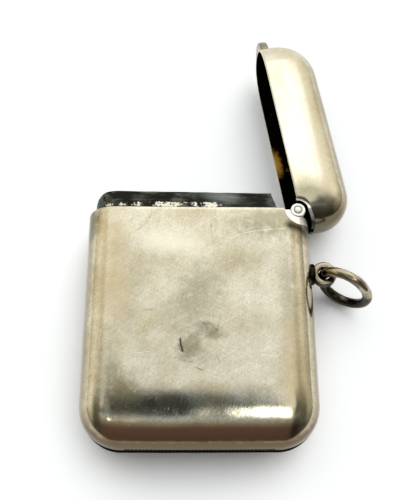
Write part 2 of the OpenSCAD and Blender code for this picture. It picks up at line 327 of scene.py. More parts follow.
def pocket_hairlines(tree, place):
    """Thin straight scratches in three directions, drawn as the edges of long cells."""
    hairlines = 0.0
    for turn, fineness in ((0.35, 1.0), (-0.6, 0.8), (1.4, 1.2)):
        turned = add(tree, "ShaderNodeMapping",
                     {"Vector": place, "Rotation": (0, 0, turn), "Scale": (16.0, 1.0, 3.0)},
                     vector_type="TEXTURE")
        cells = add(tree, "ShaderNodeTexVoronoi", {"Vector": turned, "Scale": fineness / (1.6 * mm)},
                    feature="DISTANCE_TO_EDGE")
        lines = add(tree, "ShaderNodeMapRange", {"Value": cells, "From Min": 0.02, "From Max": 0.0})
        hairlines = add(tree, "ShaderNodeMath", {0: hairlines, 1: lines}, operation="MAXIMUM")
    return hairlines


def off_seam(tree, where):
    """Distance from the seam at half thickness."""
    height = add(tree, "ShaderNodeSeparateXYZ", {0: where}, "Z")
    height = add(tree, "ShaderNodeMath", {0: height, 1: mid_z}, operation="SUBTRACT")
    return add(tree, "ShaderNodeMath", {0: height}, operation="ABSOLUTE")


def base_painted_reflection(tree):
    """1 where the sheet turns under at the base, away from its corners:
    the mask of a painted reflection of the dark room in front.
    """
    facing = add(tree, "ShaderNodeTexCoord", out="Normal")
    aside = add(tree, "ShaderNodeSeparateXYZ", {0: facing}, "X")
    aside = add(tree, "ShaderNodeMath", {0: aside}, operation="ABSOLUTE")
    along = add(tree, "ShaderNodeSeparateXYZ", {0: facing}, "Y")
    painted_reflection = 1.0
    for value, clear, full in ((aside, 0.42, 0.16), (along, -0.33, -0.5), (along, -0.88, -0.7)):
        share = add(tree, "ShaderNodeMapRange",
                    {"Value": value, "From Min": clear, "From Max": full}, **soft_step)
        painted_reflection = add(tree, "ShaderNodeMath", {0: painted_reflection, 1: share}, operation="MULTIPLY")
    return painted_reflection


def struck_silver(name, dull_and_shaded_places=(), clean_places=(), marks=(), edge_tarnish_and_shade=0.8, edge_tarnish_and_shade_code="#8c7c60",
                  base_seam_shade=None, wiping=(0.74, 1.15), seed=0.0):
    """Sterling sheet, struck, planished and long handled: a soft satin that holds wide reflections.
    Tarnish warms it in clouds, wiping leaves a fine hatch, and pocket knocks leave hairlines. Some dull
    places are a painted reflection and a painted shadow, and one mark is a painted shadow. The edges near
    the seam are darkened as tarnish and painted shade. Where a base seam width is given, the underside of
    the base carries a painted reflection of the dark room in front, and a dark brown band and a black line
    along the base seam are painted shade with some dirt."""
    finish, tree, where = new_finish(name)
    shifted = add(tree, "ShaderNodeVectorMath", {0: where, 1: (seed, seed, seed)}, operation="ADD")
    clouds, mottle, grain = [
        add(tree, "ShaderNodeTexNoise",
            {"Vector": shifted, "Scale": 1 / (size * mm), "Detail": detail, "Roughness": uneven})
        for size, detail, uneven in ((8, 4.0, 0.55), (1.1, 4.0, 0.6), (0.3, 2.0, 0.6))]
    hatch = wiping_hatch(tree, shifted)
    amount = 0.0
    for pattern, share in ((clouds, 0.75), (mottle, 0.15), (hatch, 0.035)):
        amount = add(tree, "ShaderNodeMath", {0: pattern, 1: share, 2: amount}, operation="MULTIPLY_ADD")
    tarnish = add(tree, "ShaderNodeMapRange",
                  {"Value": amount, "From Min": 0.36, "From Max": 0.68}, **soft_step)
    for *place, strength in clean_places:
        clean = blotch(tree, where, mottle, *place)
        kept = add(tree, "ShaderNodeMath", {0: clean, 1: -strength, 2: 1.0}, operation="MULTIPLY_ADD")
        tarnish = add(tree, "ShaderNodeMath", {0: tarnish, 1: kept}, operation="MULTIPLY")
    colour = add(tree, "ShaderNodeMix",
                 {0: tarnish, 6: linear("#ece6d0"), 7: linear("#cdc2a1")}, **colour_mix)
    rough = add(tree, "ShaderNodeMapRange", {"Value": tarnish, "To Min": 0.07, "To Max": 0.13})
    # Dull places: tarnish, with some painted shadow and painted reflection.
    for *place, strength in dull_and_shaded_places:
        dull_and_shade = blotch(tree, where, mottle, *place)
        dull_and_shade = add(tree, "ShaderNodeMath", {0: dull_and_shade, 1: strength}, operation="MULTIPLY")
        colour = add(tree, "ShaderNodeMix", {0: dull_and_shade, 6: colour, 7: linear("#958d6e")}, **colour_mix)
        rough = add(tree, "ShaderNodeMath", {0: dull_and_shade, 1: 0.08, 2: rough}, operation="MULTIPLY_ADD")
    hatch = add(tree, "ShaderNodeMath", {0: grain, 1: 0.8, 2: hatch}, operation="MULTIPLY_ADD")
    wiped = add(tree, "ShaderNodeMapRange",
                {"Value": hatch, "From Min": 1.4, "From Max": 2.4, "To Min": wiping[0], "To Max": wiping[1]})
    colour = add(tree, "ShaderNodeMix", {0: 1.0, 6: colour, 7: wiped}, blend_type="MULTIPLY", **colour_mix)
    height = add(tree, "ShaderNodeMath", {0: hatch, 1: 0.5, 2: mottle}, operation="MULTIPLY_ADD")
    broken = add(tree, "ShaderNodeMapRange",
                 {"Value": mottle, "From Min": 0.5, "From Max": 0.66, "To Max": 0.4})
    hairlines = pocket_hairlines(tree, shifted)
    hairlines = add(tree, "ShaderNodeMath", {0: hairlines, 1: broken}, operation="MULTIPLY")
    colour = add(tree, "ShaderNodeMix", {0: hairlines, 6: colour, 7: linear("#fdf9ea")}, **colour_mix)
    height = add(tree, "ShaderNodeMath", {0: hairlines, 1: -0.8, 2: height}, operation="MULTIPLY_ADD")
    away = add(tree, "ShaderNodeMath", {0: mottle, 1: 1.6 * mm, 2: off_seam(tree, where)},
               operation="MULTIPLY_ADD")
    # Tarnish and painted shade: the rounded edges near the seam are darkened, standing for the dim paper they
    # face.
    edge = add(tree, "ShaderNodeMapRange",
               {"Value": away, "From Min": 5.6 * mm, "From Max": 3.6 * mm, "To Max": edge_tarnish_and_shade},
               **soft_step)
    colour = add(tree, "ShaderNodeMix", {0: edge, 6: colour, 7: linear(edge_tarnish_and_shade_code)}, **colour_mix)
    rough = add(tree, "ShaderNodeMath", {0: edge, 1: 0.07, 2: rough}, operation="MULTIPLY_ADD")
    for path, width, code, strength in marks:
        mark = stroke(tree, where, path, width)
        mark = add(tree, "ShaderNodeMath", {0: mark, 1: strength}, operation="MULTIPLY")
        colour = add(tree, "ShaderNodeMix", {0: mark, 6: colour, 7: linear(code)}, **colour_mix)
        height = add(tree, "ShaderNodeMath", {0: mark, 1: -2.0, 2: height}, operation="MULTIPLY_ADD")
    metal = 1.0
    if base_seam_shade:
        # Painted reflection: the underside of the base is toned brown for the dark room in front.
        painted_reflection = base_painted_reflection(tree)
        colour = add(tree, "ShaderNodeMix", {0: painted_reflection, 6: colour, 7: linear("#8e6e5c")}, **colour_mix)
        along = add(tree, "ShaderNodeSeparateXYZ", {0: where}, "Y")
        near_base = add(tree, "ShaderNodeMapRange",
                        {"Value": along, "From Min": base_y + 5.5 * mm, "From Max": base_y + 3.2 * mm})
        # Painted shade with some dirt: a dark brown band, then a black line, along the base seam.
        for code, width in (("#6b5d48", 3.3 * mm), ("#0c0a08", base_seam_shade)):
            below = add(tree, "ShaderNodeMapRange",
                        {"Value": away, "From Min": width + 0.7 * mm, "From Max": width})
            dirt_and_shade = add(tree, "ShaderNodeMath", {0: below, 1: near_base}, operation="MULTIPLY")
            colour = add(tree, "ShaderNodeMix", {0: dirt_and_shade, 6: colour, 7: linear(code)}, **colour_mix)
        metal = add(tree, "ShaderNodeMath", {0: 1.0, 1: dirt_and_shade}, operation="SUBTRACT")
        rough = add(tree, "ShaderNodeMath", {0: dirt_and_shade, 1: 0.5, 2: rough}, operation="MULTIPLY_ADD")
    close_finish(tree, colour, rough, height, 0.0045 * mm, metal, 0.2)
    return finish


def gilt_wash(name, gold_place, seed=0.0):
    """Thin gold wash on the inside of the sheet, burnt nearly black by match fumes, with amber rests.
    Its near black without shine is partly painted shade.
    """
    finish, tree, where = new_finish(name)
    shifted = add(tree, "ShaderNodeVectorMath", {0: where, 1: (seed, seed, seed)}, operation="ADD")
    clouds, rests = [
        add(tree, "ShaderNodeTexNoise",
            {"Vector": shifted, "Scale": 1 / (size * mm), "Detail": detail, "Roughness": uneven})
        for size, detail, uneven in ((4, 6.0, 0.65), (0.9, 4.0, 0.6))]
    spare = add(tree, "ShaderNodeMapRange",
                {"Value": clouds, "From Min": 0.62, "From Max": 0.74, "To Max": 0.5})
    kept = blotch(tree, where, rests, *gold_place)
    gold = add(tree, "ShaderNodeMath", {0: spare, 1: kept}, operation="MAXIMUM")
    amber = add(tree, "ShaderNodeMix", {0: rests, 6: linear("#f09000"), 7: linear("#ffe070")}, **colour_mix)
    # Partly painted shade: the inside is near black, and it is given no shine.
    colour = add(tree, "ShaderNodeMix", {0: gold, 6: linear("#0a0806"), 7: amber}, **colour_mix)
    rough = add(tree, "ShaderNodeMapRange", {"Value": gold, "To Min": 0.5, "To Max": 0.4})
    metal = add(tree, "ShaderNodeMath", {0: gold, 1: 0.15}, operation="MULTIPLY")
    close_finish(tree, colour, rough, clouds, 0.02 * mm, metal, 0.0)
    return finish


dull_and_shaded_places = [
    ((-0.6, 3.6), (5.5, 9.0), -0.7, 0.55),
    ((12.0, 16.2), (10.0, 4.2), 0.1, 0.8),
    ((13.6, 3.0), (2.4, 15.0), 0.0, 0.4),
    ((-10.6, 2.4), (3.0, 6.0), 0.0, 0.3),
    ((-16.8, 16.6), (2.2, 3.0), 0.2, 0.95),
    # The next three are a painted reflection of the dark room in front, at the left of the base.
    ((-11.4, -10.5), (3.6, 3.0), -0.2, 0.85),
    ((-10.4, -11.8), (3.6, 2.0), 0.1, 0.7),
    ((-12.9, -7.6), (2.2, 3.2), 0.0, 0.55),
    ((-0.3, -4.2), (3.8, 5.0), 0.3, 0.35),
    ((1.5, -1.9), (3.2, 1.8), -0.3, 0.8),
    ((-1.7, -4.4), (2.6, 3.2), -0.3, 0.75),
    # A painted shadow under the hinge bearer.
    ((16.6, 14.2), (2.4, 2.2), 0.0, 0.9),
]
clean_places = [
    ((-4.2, 13.4), (8.0, 4.2), 0.15, 0.95),
    ((-13.0, 16.6), (3.0, 1.6), 0.0, 0.9),
    ((6.0, 4.0), (4.5, 6.0), -0.3, 0.7),
    ((5.0, -8.2), (9.0, 2.2), 0.0, 0.9),
    ((-6.4, -2.6), (3.0, 2.0), 0.3, 0.8),
]
dark, pale = "#4a4333", "#fffceb"
marks = [
    ([(-13.4, 15.0), (-12.6, 2.0)], 8.0, "#d2bd93", 0.5),
    ([(13.6, -1.0), (14.0, -12.0)], 6.0, "#d0bc92", 0.5),
    ([(-17.7, 18.4), (-17.7, 14.0)], 3.2, "#6a6657", 0.85),
    ([(-7.5, 12.6), (-1.5, 12.2)], 6.5, "#fbf5e0", 0.6),
    ([(9.0, 17.2), (14.5, 16.8)], 4.0, "#aaa28a", 0.6),
    ([(-2.95, -3.2), (-2.9, -4.0), (-2.6, -5.0)], 0.6, "#2c281c", 0.95),
    ([(-3.3, -3.9), (-3.1, -4.6), (-2.7, -5.1)], 0.3, dark, 0.5),
    # A painted shadow under the hinge bearer.
    ([(14.4, 15.5), (16.0, 15.3), (17.4, 14.6)], 2.8, "#3b3420", 0.95),
    ([(-0.5, -7.5), (0.3, -7.9)], 0.4, dark, 0.5),
    ([(2.4, -5.6), (2.9, -6.7)], 0.3, dark, 0.3),
    ([(-3.0, -6.3), (-1.2, -6.7)], 0.5, dark, 0.22),
    ([(0.4, -0.7), (1.4, -0.8), (2.6, -1.8)], 0.7, dark, 0.3),
    ([(-7.6, 18.4), (-7.8, 17.0), (-8.6, 15.6), (-9.8, 14.4)], 0.16, dark, 0.4),
    ([(-8.5, 18.4), (-8.3, 17.4), (-7.8, 16.4)], 0.15, dark, 0.3),
    ([(1.75, 17.6), (1.8, 14.6), (2.0, 12.2)], 0.22, dark, 0.2),
    ([(1.75, 15.6), (1.78, 15.0)], 0.34, dark, 0.45),
    ([(-8.2, 1.3), (-7.0, 1.5)], 0.24, dark, 0.45),
    ([(4.6, 13.2), (7.2, 14.2), (10.2, 14.7), (13.4, 14.9)], 0.2, pale, 0.4),
    ([(8.2, -5.3), (11.4, -5.7)], 0.24, pale, 0.5),
    ([(-9.4, -5.2), (-7.4, -5.0)], 0.22, pale, 0.5),
    ([(3.4, -0.6), (5.6, 0.6)], 0.22, pale, 0.45),
]
front_silver = struck_silver("struck_silver_front", dull_and_shaded_places, clean_places, marks, base_seam_shade=0.9 * mm)
back_silver = struck_silver("struck_silver_back", base_seam_shade=2.2 * mm, seed=0.07)
inside_gilt = gilt_wash("burnt_shaded_gilt_body", ((0.0, 0.0), (3.0, 5.0), 0.4))
body_shells = []
for node, face, finish in (("body_front_shell", 1, front_silver), ("body_back_shell", -1, back_silver)):
    name = node.replace("shell", "sheet")
    shell = tray(name, body_form, half_place(body_place, face), [finish, inside_gilt])
    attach(shell, "case")
    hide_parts(node)
    body_shells.append(shell)


# Body hinge bearer
# A strip of bright silver bent to a gutter and soldered into the body's top right corner. It
# carries the body's two knuckles, and its worn end stands level with the rounded edge.
floor_rise = 0.12 * mm
bearer_t = 1.05 * mm
bearer_sag = 0.3 * mm
flush = 0.7 * mm
knuckle_r = 1.175 * mm
body_gutter_r = knuckle_r + 0.1 * mm
body_lip = Vector((hinge_inset, -0.95 * mm))
bearer_end_tilt = 0.05
arc_steps = 40
far = 8 * mm


def gutter_path(r, through, grow, sag=0.0):
    """The gutter's line seen along the pin: an arc from the left of the axis, then a straight floor."""
    turn = math.atan2(through.y, through.x) - math.acos((r - floor_rise) / through.length)
    leave = turn + math.acos((r + grow - floor_rise) / (r + grow))
    start = -math.pi
    angles = [start + (leave - start) * k / arc_steps for k in range(arc_steps + 1)]
    points = [((r + grow) * math.cos(a), (r + grow + sag) * math.sin(a)) for a in angles]
    points.append((points[-1][0] - far * math.sin(turn), points[-1][1] + far * math.cos(turn)))
    return points


def gutter_room(r, through, grow, sag=0.0):
    """All that lies above such a line, which the sheet is cut away for."""
    points = gutter_path(r, through, grow, sag)
    return points + [(points[-1][0], far), (points[0][0], far)]


def gutter_strip(r, through, thickness, sag=0.0):
    """The strip between the gutter's line and the line one strip thickness below it."""
    return gutter_path(r, through, thickness, sag) + gutter_path(r, through, 0.0)[::-1]


def blackened_inside(bearer, dark_finish):
    """Gives a bearer's faces along the pin a dark finish, partly as painted shade, and leaves its worn ends
    bright.
    """
    bearer.data.materials.append(dark_finish)
    for face in bearer.data.polygons:
        face.material_index = 1 if abs(face.normal.z) < bearer_end_tilt else 0


def filed_silver(name, dirt_and_shade_below=-far, seed=0.0):
    """Silver filed and rubbed bright at the hinge, with fine file lines and grey dirt in the pits.
    Corners, the parts near the seam and the parts below a given place are painted dark,
    as painted shade with dirt."""
    finish, tree, where = new_finish(name)
    shifted = add(tree, "ShaderNodeVectorMath", {0: where, 1: (seed, seed, seed)}, operation="ADD")
    turned = add(tree, "ShaderNodeMapping",
                 {"Vector": shifted, "Rotation": (0, 0, 0.5), "Scale": (0.15, 1.0, 1.0)})
    lines = add(tree, "ShaderNodeTexNoise",
                {"Vector": turned, "Scale": 1 / (0.12 * mm), "Detail": 2.0, "Roughness": 0.5})
    pits = add(tree, "ShaderNodeTexNoise",
               {"Vector": shifted, "Scale": 1 / (0.5 * mm), "Detail": 4.0, "Roughness": 0.6})
    crevice = add(tree, "ShaderNodeAmbientOcclusion", {"Distance": 0.8 * mm}, "AO", samples=8)
    along = add(tree, "ShaderNodeSeparateXYZ", {0: where}, "Y")
    # Painted shade with dirt in crevices, near the seam and below a given place; dirt alone in the pits.
    places = [(crevice, 0.75, 0.42, 0.98), (pits, 0.58, 0.75, 0.5),
              (off_seam(tree, where), 3.4 * mm, 2.0 * mm, 0.9),
              (along, dirt_and_shade_below + 0.2 * mm, dirt_and_shade_below - 0.5 * mm, 0.95)]
    grime_and_shade = 0.0
    for value, clear, foul, most in places:
        dirt_and_shade = add(tree, "ShaderNodeMapRange",
                   {"Value": value, "From Min": clear, "From Max": foul, "To Max": most})
        grime_and_shade = add(tree, "ShaderNodeMath", {0: grime_and_shade, 1: dirt_and_shade}, operation="MAXIMUM")
    colour = add(tree, "ShaderNodeMix", {0: grime_and_shade, 6: linear("#fffdf6"), 7: linear("#15120d")}, **colour_mix)
    rough = add(tree, "ShaderNodeMapRange", {"Value": lines, "To Min": 0.34, "To Max": 0.5})
    close_finish(tree, colour, rough, lines, 0.003 * mm)
    return finish


hinge_silver = filed_silver("filed_silver")
cut_low, cut_high = -half_t, 3 * half_t
hinge_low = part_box("body_knuckle_back")[0].z - flush
hinge_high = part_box("body_knuckle_front")[1].z + flush
cut_outline = gutter_room(body_gutter_r, body_lip, bearer_t + solder_gap, bearer_sag)
for shell in body_shells:
    carved(shell, prism("gutter_cut", cut_outline, cut_low, cut_high))
strip = gutter_strip(body_gutter_r, body_lip, bearer_t, bearer_sag)
body_bearer = prism("body_gutter_strip", strip, hinge_low, hinge_high)
body_bearer.data.materials.append(hinge_silver)
carved(body_bearer, lump("body_lump", body_form, body_place), "INTERSECT")
blackened_inside(body_bearer, inside_gilt)
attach(body_bearer, "case")
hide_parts("body_hinge_bearer")


# Body knuckles
# Two short silver tubes, soldered into the gutter front and back. A thin dark line of painted shade
# and dirt shows where each tube meets the gutter, and their filed ends have lost their edges.
pin_r = (pin_high.x - pin_low.x) / 2
bore_r = pin_r + 0.03 * mm
knuckle_edge = 0.12 * mm
ring_steps = 72
ring_angles = [2 * math.pi * k / ring_steps for k in range(ring_steps)]


def round_points(profile, angle, centre):
    """Points of a profile of radii and heights, at one angle about a line along Z."""
    return [(centre.x + r * math.cos(angle), centre.y + r * math.sin(angle), z) for r, z in profile]


def polar_ring(name, low, high, bore, outer, edge, centre):
    """A ring about a line along Z whose outer radius may change with direction, with round edges."""
    rows = []
    for angle in ring_angles:
        wide = outer(angle)
        profile = [(wide - edge + edge * math.cos(t), high - edge + edge * math.sin(t)) for t in round_turns]
        profile += [(bore + edge - edge * math.sin(t), high - edge + edge * math.cos(t)) for t in round_turns]
        profile += [(bore + edge - edge * math.cos(t), low + edge - edge * math.sin(t)) for t in round_turns]
        profile += [(wide - edge + edge * math.sin(t), low + edge - edge * math.cos(t)) for t in round_turns]
        rows.append(round_points(profile, angle, centre))
    work = shaped(rows, closed_columns=True, closed_rows=True)[0]
    return finished(work, name)


def saddled(radius, joined, fillet_r):
    """Outer radius of a knuckle by direction, wider between two directions where solder joins it."""
    low, high = (math.radians(a) for a in joined)
    soft = math.radians(12)

    def outer(angle):
        inside = min(angle - low, high - angle) / soft
        share = min(1.0, max(0.0, inside + 0.5))
        return radius + (fillet_r - radius) * share * share * (3 - 2 * share)
    return outer


body_saddle = (195, 245)
front_tube = (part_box("body_knuckle_front")[0].z, hinge_high)
back_tube = (hinge_low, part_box("body_knuckle_back")[1].z)
shape = saddled(knuckle_r, body_saddle, body_gutter_r - solder_gap)
for node, (low, high) in (("body_knuckle_front", front_tube), ("body_knuckle_back", back_tube)):
    knuckle = polar_ring(node.replace("knuckle", "tube"), low, high, bore_r, shape, knuckle_edge, hinge)
    knuckle.data.materials.append(hinge_silver)
    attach(knuckle, "case")
    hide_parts(node)


# Hinge pin
# A silver wire driven through the three knuckles, and its ends hammered to low domes. It is fast in
# the body's knuckles, and the lid's knuckle turns on it.
dome = 0.22 * mm
pin_steps = 7
pin_profile = []
for k in range(pin_steps + 1):
    turn = math.pi / 2 * k / pin_steps
    r = max(pin_r * math.sin(turn), merge_gap)
    pin_profile.append((r, pin_high.z + flush - dome * (1 - math.cos(turn))))
pin_profile += [(r, pin_low.z + pin_high.z - z) for r, z in pin_profile[::-1]]
pin_rows = [round_points(pin_profile, angle, hinge) for angle in ring_angles]
work, grid = shaped(pin_rows, closed_rows=True)
work.faces.new([row[0] for row in grid])
work.faces.new([row[-1] for row in grid])
pin = finished(work, "riveted_pin", [filed_silver("hammered_pin_silver", seed=0.03)])
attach(pin, "case")
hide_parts("hinge_pin")


# Mouth collar
# A strip of silver that lines the mouth, soldered inside the body, and stands out for the lid to
# slide over. It is burnt grey-green, with bright flecks of solder and gilding left along the rim.
collar_low, collar_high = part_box("mouth_collar")
collar_low.x += 0.25 * mm
collar_high.x += 0.5 * mm
collar_t = 0.45 * mm
lid_room = 0.4 * mm
collar_rise = collar_high.y - rim_y
collar_rise_hinge = 2.9 * mm
collar_corner_r = 2.3 * mm
collar_slant = 1.05 * mm
collar_edge = 0.09 * mm
collar_rows, collar_flat = 26, 110
fleck_places = [
    (-14.7, 2.0, 0.25), (-12.4, 1.6, 0.25), (-9.9, 1.8, 0.27), (-5.1, 4.8, 0.37), (-0.8, 1.4, 0.28),
    (1.8, 2.8, 0.37),
]


def collar_top(x):
    """Height of the collar's top edge at a place across the mouth, with the waver of a hand cut."""
    full = collar_low.x + collar_corner_r
    fall = (x - full) / (collar_high.x - full)
    waver = 0.05 * mm * noise.noise(Vector((x / (2.2 * mm), 0.3, 0)))
    if x > full:
        return rim_y + collar_rise - fall * (collar_rise - collar_rise_hinge) + waver
    short = min(full - x, collar_corner_r)
    return rim_y + collar_rise - collar_corner_r + math.sqrt(collar_corner_r ** 2 - short ** 2) + waver


def collar_row(share, inset, drop):
    """Points round the collar, from its front end past the closed side to its back end."""
    pillow = body_form["pillow"]
    flat_x = half_w - body_form["side"][0]
    points = []
    nominal = collar_low.y + share * (collar_high.y - collar_low.y)
    over = max(0.0, nominal - rim_y) / collar_rise_hinge
    end_x = collar_high.x - collar_slant * min(over, 1.0)
    places = [(end_x + (-flat_x - end_x) * k / collar_flat, 0.0) for k in range(collar_flat)]
    for k in range(edge_steps + 1):
        s = math.sin(math.pi / 2 * k / edge_steps) ** (2 / pillow)
        places.append((-flat_x - (body_form["side"][0] - inset) * s, s))
    for face in (1, -1):
        for x, s in (places if face > 0 else places[-2::-1]):
            y = collar_low.y + share * (collar_top(max(x, collar_low.x)) - collar_low.y) - drop
            z = (half_t - inset) * max(0.0, 1 - s ** pillow) ** (1 / pillow)
            points.append((x, y, mid_z + face * z))
    return points


def burnt_silver(name):
    """Silver at the match end, burnt to a grey-green sulphide skin with streaks from the sliding lid.
    Bright flecks of old gilding and solder hold on just above the body's rim."""
    finish, tree, where = new_finish(name)
    level = add(tree, "ShaderNodeVectorMath", {0: where, 1: (0.16, 1.0, 1.0)}, operation="MULTIPLY")
    streaks = add(tree, "ShaderNodeTexNoise",
                  {"Vector": level, "Scale": 1 / (0.5 * mm), "Detail": 4.0, "Roughness": 0.6})
    clouds = add(tree, "ShaderNodeTexNoise",
                 {"Vector": where, "Scale": 1 / (3.5 * mm), "Detail": 3.0, "Roughness": 0.55})
    amount = add(tree, "ShaderNodeMath", {0: streaks, 1: clouds}, operation="MULTIPLY")
    worn = add(tree, "ShaderNodeMapRange",
               {"Value": amount, "From Min": 0.2, "From Max": 0.42}, **soft_step)
    colour = add(tree, "ShaderNodeMix", {0: worn, 6: linear("#24251f"), 7: linear("#63665d")}, **colour_mix)
    # A painted sheen: a pale streaked patch high on the collar.
    sheen_at = (3.6, (rim_y + 0.7 * collar_rise) / mm)
    sheen = blotch(tree, where, streaks, sheen_at, (4.6, 1.4), -0.12)
    sheen = add(tree, "ShaderNodeMath", {0: sheen, 1: streaks}, operation="MULTIPLY")
    colour = add(tree, "ShaderNodeMix", {0: sheen, 6: colour, 7: linear("#9aa09b")}, **colour_mix)
    fleck = add(tree, "ShaderNodeTexNoise",
                {"Vector": where, "Scale": 1 / (0.4 * mm), "Detail": 4.0, "Roughness": 0.75})
    likely = 0.0
    for middle, spread, strength in fleck_places:
        place = blotch(tree, where, streaks, (middle, rim_y / mm + 0.75), (spread, 1.0), 0.0)
        held = add(tree, "ShaderNodeMath", {0: place, 1: strength}, operation="MULTIPLY")
        likely = add(tree, "ShaderNodeMath", {0: likely, 1: held}, operation="MAXIMUM")
    found = add(tree, "ShaderNodeMath", {0: fleck, 1: likely}, operation="ADD")
    gilt = add(tree, "ShaderNodeMapRange", {"Value": found, "From Min": 0.74, "From Max": 0.8})
    tint = add(tree, "ShaderNodeMix", {0: clouds, 6: linear("#ffffff"), 7: linear("#fdf2c4")}, **colour_mix)
    colour = add(tree, "ShaderNodeMix", {0: gilt, 6: colour, 7: tint}, **colour_mix)
    rough = add(tree, "ShaderNodeMapRange", {"Value": streaks, "To Min": 0.28, "To Max": 0.45})
    height = add(tree, "ShaderNodeMath", {0: gilt, 1: 0.3, 2: streaks}, operation="MULTIPLY_ADD")
    metal = add(tree, "ShaderNodeMapRange", {"Value": gilt, "To Min": 1.0, "To Max": 0.8})
    close_finish(tree, colour, rough, height, 0.01 * mm, metal)
    return finish


outside = sheet + lid_room
inside = outside + collar_t
shares = [k / collar_rows for k in range(collar_rows + 1)]
collar_path = [(share, outside, collar_edge) for share in shares]
rounding = [(collar_edge * (1 - math.cos(a)), collar_edge * (1 - math.sin(a))) for a in round_turns]
collar_path += [(1.0, outside + side, drop) for side, drop in rounding[1:]]
collar_path += [(1.0, inside - side, drop) for drop, side in rounding[:-1]]
collar_path += [(share, inside, collar_edge) for share in shares[::-1]]
work, grid = shaped([collar_row(*step) for step in collar_path], closed_rows=True)
for column in (0, -1):
    ends = [row[column] for row in grid]
    for k in range(collar_rows):
        work.faces.new((ends[k], ends[k + 1], ends[-2 - k], ends[-1 - k]))
    work.faces.new(ends[collar_rows:len(ends) - collar_rows])
collar = finished(work, "burnt_collar", [burnt_silver("burnt_silver")])
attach(collar, "case")
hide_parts("mouth_collar")


# Striker plate
# A plate filed with fine sharp ribs, let into the base for striking matches. Use has worn the ribs
# lower in the middle and left black dirt between them, and the crests are painted dark as shade.
striker_low, striker_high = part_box("striker_plate")
rib_pitch = 0.55 * mm
rib_h = 0.22 * mm
rib_points, striker_columns = 8, 14
rib_wear = 0.35
striker_l = striker_high.x - striker_low.x
striker_w = striker_high.z - striker_low.z
rib_steps = int(striker_l / rib_pitch) * rib_points


def rib_face(x, z):
    """Height of the ribbed face at a place on the plate."""
    phase = (x - striker_low.x) / rib_pitch % 1.0
    across = (z - mid_z) / striker_w * 2
    along = (x - striker_low.x) / striker_l * 2 - 1
    wear = rib_wear * (1 - across ** 2) * (1 - along ** 4)
    ridge = min(1 - abs(2 * phase - 1), 1 - wear)
    return striker_low.y + rib_h * (1 - ridge)


def struck_plate_silver(name):
    """Ribbed silver fouled by match heads: black dirt in the furrows, and crests painted dark as shade."""
    finish, tree, where = new_finish(name)
    depth = add(tree, "ShaderNodeSeparateXYZ", {0: where}, "Y")
    depth = add(tree, "ShaderNodeMath", {0: depth, 1: striker_low.y}, operation="SUBTRACT")
    grains = add(tree, "ShaderNodeTexNoise",
                 {"Vector": where, "Scale": 1 / (0.25 * mm), "Detail": 5.0, "Roughness": 0.7})
    wavered = add(tree, "ShaderNodeMath", {0: grains, 1: 0.12 * mm, 2: depth}, operation="MULTIPLY_ADD")
    fouled = add(tree, "ShaderNodeMapRange",
                 {"Value": wavered, "From Min": 0.1 * mm, "From Max": 0.2 * mm})
    # Painted shade: the worn crests are dark as well; the furrows are black with dirt.
    colour = add(tree, "ShaderNodeMix",
                 {0: fouled, 6: linear("#2a251d"), 7: linear("#0d0b08")}, **colour_mix)
    rough = add(tree, "ShaderNodeMapRange", {"Value": fouled, "To Min": 0.5, "To Max": 0.8})
    metal = add(tree, "ShaderNodeMapRange", {"Value": fouled, "To Min": 0.6, "To Max": 0.0})
    close_finish(tree, colour, rough, grains, 0.02 * mm, metal, 0.2)
    return finish


xs = [striker_low.x + striker_l * k / rib_steps for k in range(rib_steps + 1)]
zs = [striker_low.z + striker_w * k / striker_columns for k in range(striker_columns + 1)]
work, grid = shaped([[(x, rib_face(x, z), z) for z in zs] for x in xs])
backs = [[work.verts.new((x, striker_high.y, z)) for z in (zs[0], zs[-1])] for x in (xs[0], xs[-1])]
work.faces.new((backs[0][0], backs[0][1], backs[1][1], backs[1][0]))
work.faces.new([row[0] for row in grid] + [backs[1][0], backs[0][0]])
work.faces.new([row[-1] for row in grid] + [backs[1][1], backs[0][1]])
work.faces.new(grid[0] + [backs[0][1], backs[0][0]])
work.faces.new(grid[-1] + [backs[1][1], backs[1][0]])
striker = finished(work, "ribbed_plate", [struck_plate_silver("fouled_shaded_ribbed_silver")])
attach(striker, "case")
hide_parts("striker_plate")
slot_size = striker_high - striker_low + Vector((2 * solder_gap, far, 2 * solder_gap))
slot_centre = (striker_low + striker_high) / 2
slot_centre.y = base_y + 2 * sheet - slot_size.y / 2
for shell in body_shells:
    work = bmesh.new()
    bmesh.ops.create_cube(work, size=1.0)
    bmesh.ops.transform(work, matrix=Matrix.LocRotScale(slot_centre, None, slot_size), verts=work.verts)
    carved(shell, finished(work, "striker_cut"))


# Lid spring
# A leaf of blued spring steel inside the body, soldered to the side wall by its foot. Its tip rubs
# the lid's knuckle, so that the lid stays where it is put.


def spring_steel_finish(name):
    """Rolled spring steel, blued by heat and browned by rust, with fine rolling lines along it."""
    finish, tree, where = new_finish(name)
    along = add(tree, "ShaderNodeVectorMath", {0: where, 1: (1.0, 0.1, 1.0)}, operation="MULTIPLY")
    lines = add(tree, "ShaderNodeTexNoise",
                {"Vector": along, "Scale": 1 / (0.15 * mm), "Detail": 3.0, "Roughness": 0.5})
    rust = add(tree, "ShaderNodeTexNoise",
               {"Vector": where, "Scale": 1 / (1.5 * mm), "Detail": 6.0, "Roughness": 0.7})
    browned = add(tree, "ShaderNodeMapRange", {"Value": rust, "From Min": 0.5, "From Max": 0.68})
    colour = add(tree, "ShaderNodeMix",
                 {0: browned, 6: linear("#62686f"), 7: linear("#5a3a22")}, **colour_mix)
    rough = add(tree, "ShaderNodeMapRange", {"Value": browned, "To Min": 0.3, "To Max": 0.7})
    close_finish(tree, colour, rough, lines, 0.004 * mm)
    return finish


spring = frame["nodes"]["lid_spring"]
spring.data.materials.clear()
spring.data.materials.append(spring_steel_finish("blued_spring_steel"))


